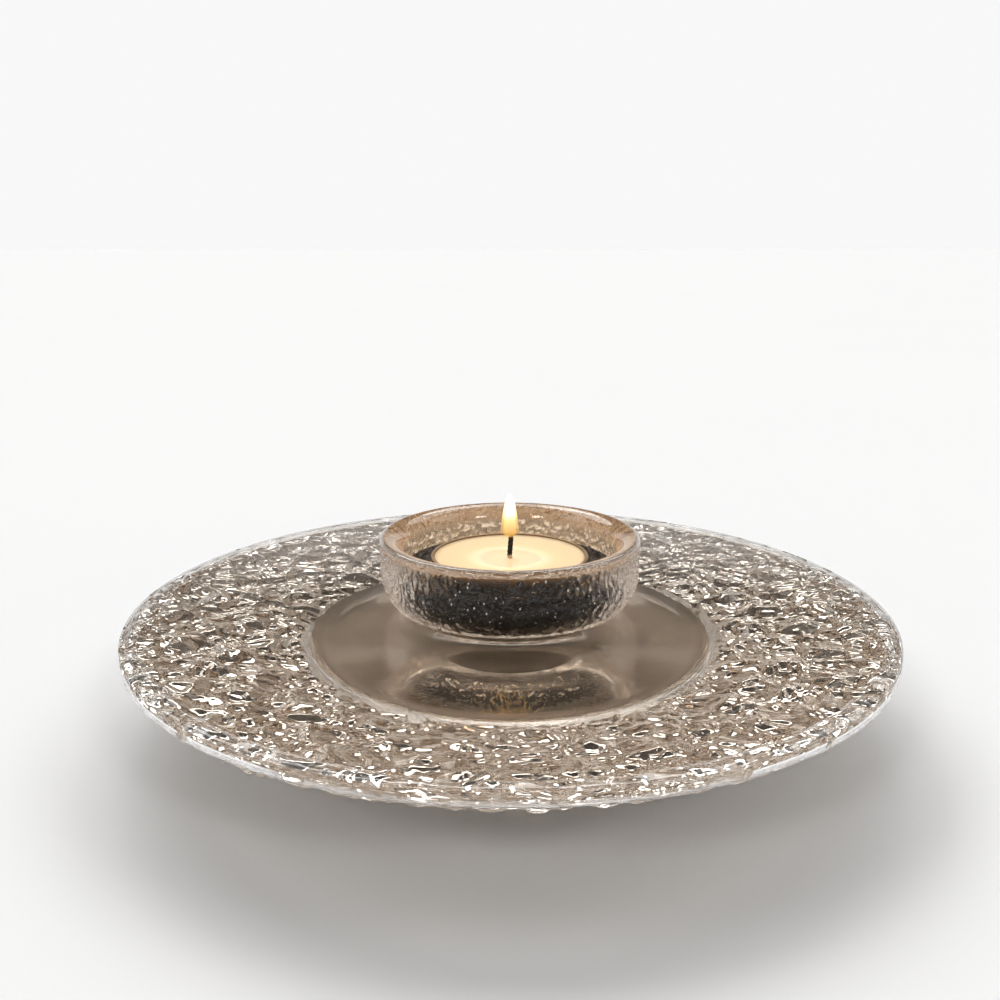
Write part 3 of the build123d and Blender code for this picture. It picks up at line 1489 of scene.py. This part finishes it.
@dataclass
class Tealight:
    """The tealight's cup, fluted under a rolled rim, and the wax in it."""

    wall: float = 0.35 * MM
    seat_gap: float = 0.04 * MM
    bead: float = 0.45 * MM
    bead_top_round: float = 0.4 * MM
    bead_foot_round: float = 0.35 * MM
    bead_root_round: float = 0.1 * MM
    mouth_round: float = 0.15 * MM
    inner_round: float = 0.8 * MM
    outer_round: float = 1.0 * MM
    flutes: int = 72
    flute_depth: float = 0.16 * MM
    flute_foot: float = 1.5 * MM
    flute_head: float = 2.5 * MM
    flute_fade: float = 1.5 * MM
    # A face stands upright where its normal reaches further out than this.
    upright: float = 0.9
    floor_step: float = 0.3 * MM
    wall_step: float = 0.5 * MM
    bead_step: float = 0.1 * MM
    base_step: float = 2 * MM
    segments: int = 576
    wax_gap: float = 0.05 * MM
    wax_dip: float = 0.35 * MM
    rim_climb: float = 0.45 * MM
    rim_fall_off: float = 0.7 * MM
    wick_climb: float = 0.3 * MM
    wick_fall_off: float = 0.8 * MM
    wax_rows: int = 40
    wax_segments: int = 144
    radius: float = field(init=False)
    base: float = field(init=False)
    rim: float = field(init=False)
    wax_top: float = field(init=False)

    def __post_init__(self) -> None:
        """Takes the overall sizes from the frame."""
        low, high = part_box("tealight_cup")
        self.radius = high.x
        self.base = low.z + self.seat_gap
        self.rim = high.z
        self.wax_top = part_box("wax")[1].z

    def fluting(self, points: np.ndarray, normals: np.ndarray) -> np.ndarray:
        """Flutes round the outside, fading out at both ends.

        Args:
            points: points of the smooth cup.
            normals: their outward normals.
        Returns:
            How far each point moves along its normal.
        """
        low, high = self.base + self.flute_foot, self.rim - self.flute_head
        share = fade(points[..., 2], low, low + self.flute_fade)
        share *= fade(points[..., 2], high, high - self.flute_fade)
        share *= np.linalg.norm(normals[..., :2], axis=-1) > self.upright
        angle = np.arctan2(points[..., 1], points[..., 0])
        return -share * (0.5 - 0.5 * np.cos(angle * self.flutes)) * self.flute_depth

    def cup(self) -> bpy.types.Object:
        """The cup, with fluted sides under a rolled rim.

        Returns:
            The new object.
        """
        outer = self.radius - self.bead
        inner = outer - self.wall
        bead_foot = self.rim - 2 * self.bead
        outline = walk(
            [
                Corner(0, self.base + self.wall),
                Corner(inner, self.base + self.wall, self.inner_round, self.floor_step),
                Corner(inner, self.rim, self.mouth_round, self.wall_step),
                Corner(self.radius, self.rim, self.bead_top_round, self.bead_step),
                Corner(self.radius, bead_foot, self.bead_foot_round, self.bead_step),
                Corner(outer, bead_foot, self.bead_root_round, self.bead_step),
                Corner(outer, self.base, self.outer_round, self.wall_step),
                Corner(0, self.base, step=self.base_step),
            ]
        )
        piece = turned("tealight_cup_pressed", outline, self.segments, self.fluting)
        fit(piece, Body.TEALIGHT, "cup_metal", (PaintedDarkCup(self.rim),), "tealight_cup")
        return piece

    def wax(self) -> bpy.types.Object:
        """The wax, dished round the wick and turned up at the cup.

        Returns:
            The new object.
        """
        edge = self.radius - self.bead - self.wall - self.wax_gap
        floor = self.base + self.wall + self.wax_gap
        share = np.linspace(0, 1, self.wax_rows)
        heights = self.wax_top - self.wax_dip * (1 - share**2)
        heights += self.rim_climb * np.exp(-(1 - share) * edge / self.rim_fall_off)
        heights += self.wick_climb * np.exp(-share * edge / self.wick_fall_off)
        down = walk(
            [
                Corner(edge, float(heights[-1])),
                Corner(edge, floor, self.inner_round),
                Corner(0, floor, step=self.base_step),
            ]
        )
        outline = np.vstack((np.column_stack((share * edge, heights)), down[1:]))
        piece = turned("wax_fill", outline, self.wax_segments)
        fit(piece, Body.TEALIGHT, "wax", (CandleWax(edge),), "wax")
        return piece

    def build(self) -> None:
        """The cup and the wax, dressed."""
        self.cup()
        self.wax()


@dataclass
class BraidedWick:
    """The wick, twisted from strands and leaning a little at the tip."""

    strands: int = 3
    strand_radius: float = 0.42 * MM
    strand_offset: float = 0.231 * MM
    lay: float = 3.2 * MM
    lean: float = 0.35 * MM
    lean_from: float = 0.7
    taper: float = 0.5
    taper_from: float = 0.96
    rows: int = 60
    sides: int = 10
    foot: float = field(init=False)
    top: float = field(init=False)
    wax_top: float = field(init=False)

    def __post_init__(self) -> None:
        """Takes the wick's ends and the wax's top from the frame."""
        low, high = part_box("wick")
        self.foot = low.z
        self.top = high.z
        self.wax_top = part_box("wax")[1].z

    def ring(self, strand: int, row: int) -> list[Vector]:
        """One ring of points round a strand.

        Args:
            strand: which strand.
            row: which ring of it, from the foot.
        Returns:
            The points.
        """
        share = row / (self.rows - 1)
        height = self.foot + share * (self.top - self.foot)
        turn = (height / self.lay + strand / self.strands) * FULL_TURN
        thin = 1 - self.taper * max(0.0, share - self.taper_from) / (1 - self.taper_from)
        bend = self.lean * max(0.0, share - self.lean_from) / (1 - self.lean_from)
        middle = Vector((math.cos(turn), math.sin(turn), 0)) * self.strand_offset
        middle += Vector((bend, 0, height))
        angles = [side * FULL_TURN / self.sides for side in range(self.sides)]
        spokes = [Vector((math.cos(angle), math.sin(angle), 0)) for angle in angles]
        return [middle + spoke * self.strand_radius * thin for spoke in spokes]

    def build(self) -> bpy.types.Object:
        """The wick as one piece, dressed.

        Returns:
            The new object.
        """
        points, faces = [], []
        for strand in range(self.strands):
            first = len(points)
            last = first + (self.rows - 1) * self.sides
            for row in range(self.rows):
                points += self.ring(strand, row)
            for low in range(first, last, self.sides):
                for side in range(self.sides):
                    a, b = low + side, low + (side + 1) % self.sides
                    faces.append((a, b, b + self.sides, a + self.sides))
            faces.append(tuple(reversed(range(first, first + self.sides))))
            faces.append(tuple(range(last, last + self.sides)))
        piece = shaped("braided_wick", points, faces)
        fit(piece, Body.TEALIGHT, "wick_cotton", (CottonWick(self.wax_top),), "wick")
        return piece


@dataclass
class WickTab:
    """The tin tab that holds the wick upright, shown as it comes from the frame."""

    node: str = "wick_tab"

    def build(self) -> None:
        """Gives the tab its finish."""
        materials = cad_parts[self.node].data.materials
        materials.clear()
        materials.append(TinPlate().material())
        LOG.info("%s: dressed", self.node)


@dataclass
class CandleFlame:
    """The flame: a thin amber veil round a bright core, and the light that it gives."""

    height: float = 11.0 * MM
    radius: float = 2.25 * MM
    core_share: float = 0.72
    foot_drop: float = 0.5 * MM
    foot_share: float = 0.12
    foot_power: float = 0.5
    tip_power: float = 2.2
    tip_round: float = 0.6
    narrowing: float = 0.2
    rows: int = 40
    segments: int = 48
    power: float = 0.0022
    colour: Colour = (1.0, 0.62, 0.28)
    light_share: float = 0.3
    wick_top: float = field(init=False)

    def __post_init__(self) -> None:
        """Takes the wick's top from the frame."""
        self.wick_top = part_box("wick")[1].z

    @property
    def foot(self) -> float:
        """Height of the flame's foot."""
        return self.wick_top - self.foot_drop

    def finishes(self) -> tuple[FlameGlow, FlameGlow]:
        """The flame's finishes.

        Returns:
            The veil's finish and the core's.
        """
        veil = FlameGlow(
            "flame_veil",
            foot=self.foot,
            tip=self.foot + self.height,
            foot_colour=(0.22, 0.105, 0.022),
            waist_colour=(0.30, 0.20, 0.075),
            body_colour=(0.8, 0.62, 0.32),
            tip_colour=(1.0, 0.93, 0.75),
            strength=4.0,
            foot_cover=0.2,
            body_cover=0.6,
        )
        core = FlameGlow(
            "flame_core",
            foot=self.foot,
            tip=self.foot + self.height,
            foot_colour=(0.14, 0.08, 0.02),
            waist_colour=(0.21, 0.165, 0.08),
            body_colour=(0.9, 0.78, 0.52),
            tip_colour=(1.0, 0.95, 0.85),
            strength=7.0,
            foot_cover=0.4,
            body_cover=1.0,
        )
        return veil, core

    def outline(self, width: float) -> np.ndarray:
        """The outline of the flame or of a part of its width.

        Args:
            width: share of the flame's width.
        Returns:
            Points from the tip down to the foot.
        """
        share = np.linspace(1, 0, self.rows)
        swell = np.minimum(1.0, share / self.foot_share) ** self.foot_power
        swell *= (1 - share**self.tip_power) ** self.tip_round * (1 - self.narrowing * share)
        swell[[0, -1]] = 0.0
        return np.column_stack((swell * self.radius * width, self.foot + self.height * share))

    def light(self) -> None:
        """The light that the flame gives."""
        data = bpy.data.lights.new("flame_light", "POINT")
        data.energy = self.power
        data.color = self.colour
        data.shadow_soft_size = self.radius
        lamp = bpy.data.objects.new("flame_light", data)
        lamp.location = (0, 0, self.wick_top + self.light_share * self.height)
        bpy.context.scene.collection.objects.link(lamp)
        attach(lamp, Body.TEALIGHT.value)

    def build(self) -> None:
        """The veil and the core, dressed."""
        for finish, width in zip(self.finishes(), (1.0, self.core_share)):
            piece = turned(finish.title, self.outline(width), self.segments)
            piece.visible_shadow = False
            fit(piece, Body.TEALIGHT, "wax", (finish,))


@dataclass(frozen=True)
class SoftLamp:
    """One large soft lamp, far enough away to light the whole floor evenly.

    Bearing is counted from +X towards +Y; bearing, rise and spread are in degrees.
    """

    name: str
    bearing: float
    rise: float
    spread: float
    light: float

    def hang(self) -> None:
        """Puts the lamp up, turned to the bowl."""
        data = bpy.data.lights.new(self.name, "SUN")
        data.angle = math.radians(self.spread)
        data.energy = self.light
        bearing, rise = math.radians(self.bearing), math.radians(self.rise)
        level = math.cos(rise)
        towards = Vector((level * math.cos(bearing), level * math.sin(bearing), math.sin(rise)))
        lamp = bpy.data.objects.new(self.name, data)
        lamp.location = towards
        lamp.rotation_euler = (-towards).to_track_quat("-Z", "Y").to_euler()
        bpy.context.scene.collection.objects.link(lamp)


@dataclass
class Studio:
    """Pale floor, soft lamps, even surroundings and the camera."""

    lens: float = 36.95
    camera_place: Triple = (-2.33 * MM, -237.45 * MM, 110.4 * MM)
    camera_dip: float = 13.92
    camera_near: float = 10 * MM
    floor_size: float = 60.0
    floor_gap: float = 0.2 * MM
    lamps: tuple[SoftLamp, ...] = (
        SoftLamp("back_left_lamp", bearing=120, rise=47, spread=32, light=0.96),
        SoftLamp("back_lamp", bearing=90, rise=50, spread=30, light=0.82),
        SoftLamp("back_right_lamp", bearing=60, rise=47, spread=32, light=0.58),
        SoftLamp("left_lamp", bearing=178, rise=46, spread=30, light=0.34),
        SoftLamp("right_lamp", bearing=2, rise=46, spread=30, light=0.34),
        SoftLamp("front_left_lamp", bearing=-125, rise=36, spread=12, light=0.40),
        SoftLamp("front_right_lamp", bearing=-55, rise=36, spread=12, light=0.40),
    )
    horizon: Colour = (0.94, 0.94, 0.94)
    horizon_top: float = 0.235
    room: Colour = (0.10, 0.097, 0.094)
    room_from: float = 0.32
    ceiling: Colour = (0.07, 0.07, 0.07)
    bounces: int = 24
    mirror_bounces: int = 12
    clear_bounces: int = 16

    def surroundings(self) -> None:
        """A world that is white at the horizon and darker overhead."""
        world = bpy.data.worlds.new("studio_surroundings")
        bpy.context.scene.world = world
        world.use_nodes = True
        sheet = NodeSheet(world.node_tree)
        direction = sheet.out(sheet.add("ShaderNodeTexCoord"), "Generated")
        stops = (
            (0.0, self.horizon),
            (self.horizon_top, self.horizon),
            (self.room_from, self.room),
            (1.0, self.ceiling),
        )
        shade = sheet.ramp(sheet.split(direction)[2], stops)
        background = sheet.add("ShaderNodeBackground", None, {"Color": shade, "Strength": 1.0})
        sheet.add("ShaderNodeOutputWorld", None, {"Surface": sheet.out(background)})

    def floor(self) -> None:
        """The floor that the bowl stands on."""
        half = self.floor_size / 2
        corners = [(-half, -half, 0), (half, -half, 0), (half, half, 0), (-half, half, 0)]
        floor = shaped("studio_floor", corners, [(0, 1, 2, 3)])
        floor.location.z = -self.floor_gap
        floor.data.materials.append(PaleFloor().material())

    def camera(self) -> None:
        """The camera, close to the bowl and a little above it."""
        data = bpy.data.cameras.new("photo_camera")
        data.lens = self.lens
        data.clip_start = self.camera_near
        camera = bpy.data.objects.new("photo_camera", data)
        camera.location = self.camera_place
        camera.rotation_euler = (math.radians(90 - self.camera_dip), 0, 0)
        bpy.context.scene.collection.objects.link(camera)
        bpy.context.scene.camera = camera

    def build(self, flame: CandleFlame) -> None:
        """Sets the studio up.

        Args:
            flame: the flame that adds its light to the lamps'.
        """
        self.surroundings()
        self.floor()
        for lamp in self.lamps:
            lamp.hang()
        flame.light()
        self.camera()
        scene = bpy.context.scene
        scene.view_settings.view_transform = "Standard"
        scene.cycles.max_bounces = self.bounces
        scene.cycles.transmission_bounces = self.bounces
        scene.cycles.transparent_max_bounces = self.clear_bounces
        scene.cycles.glossy_bounces = self.mirror_bounces
        LOG.info("studio: %d lamps", len(self.lamps))


def main() -> None:
    """Builds the bowl, the dish, the water, the tealight, its wick, flame and tab, and the studio."""
    logging.basicConfig(level=logging.INFO, format="%(message)s")
    noise.seed_set(RIPPLE_SEED)
    bowl = GlassBowl()
    dish = FloatingDish()
    flame = CandleFlame()
    bowl.build()
    dish.build()
    WaterFill(bowl, dish).build()
    Tealight().build()
    BraidedWick().build()
    flame.build()
    WickTab().build()
    Studio().build(flame)


if __name__ == "__main__":
    main()
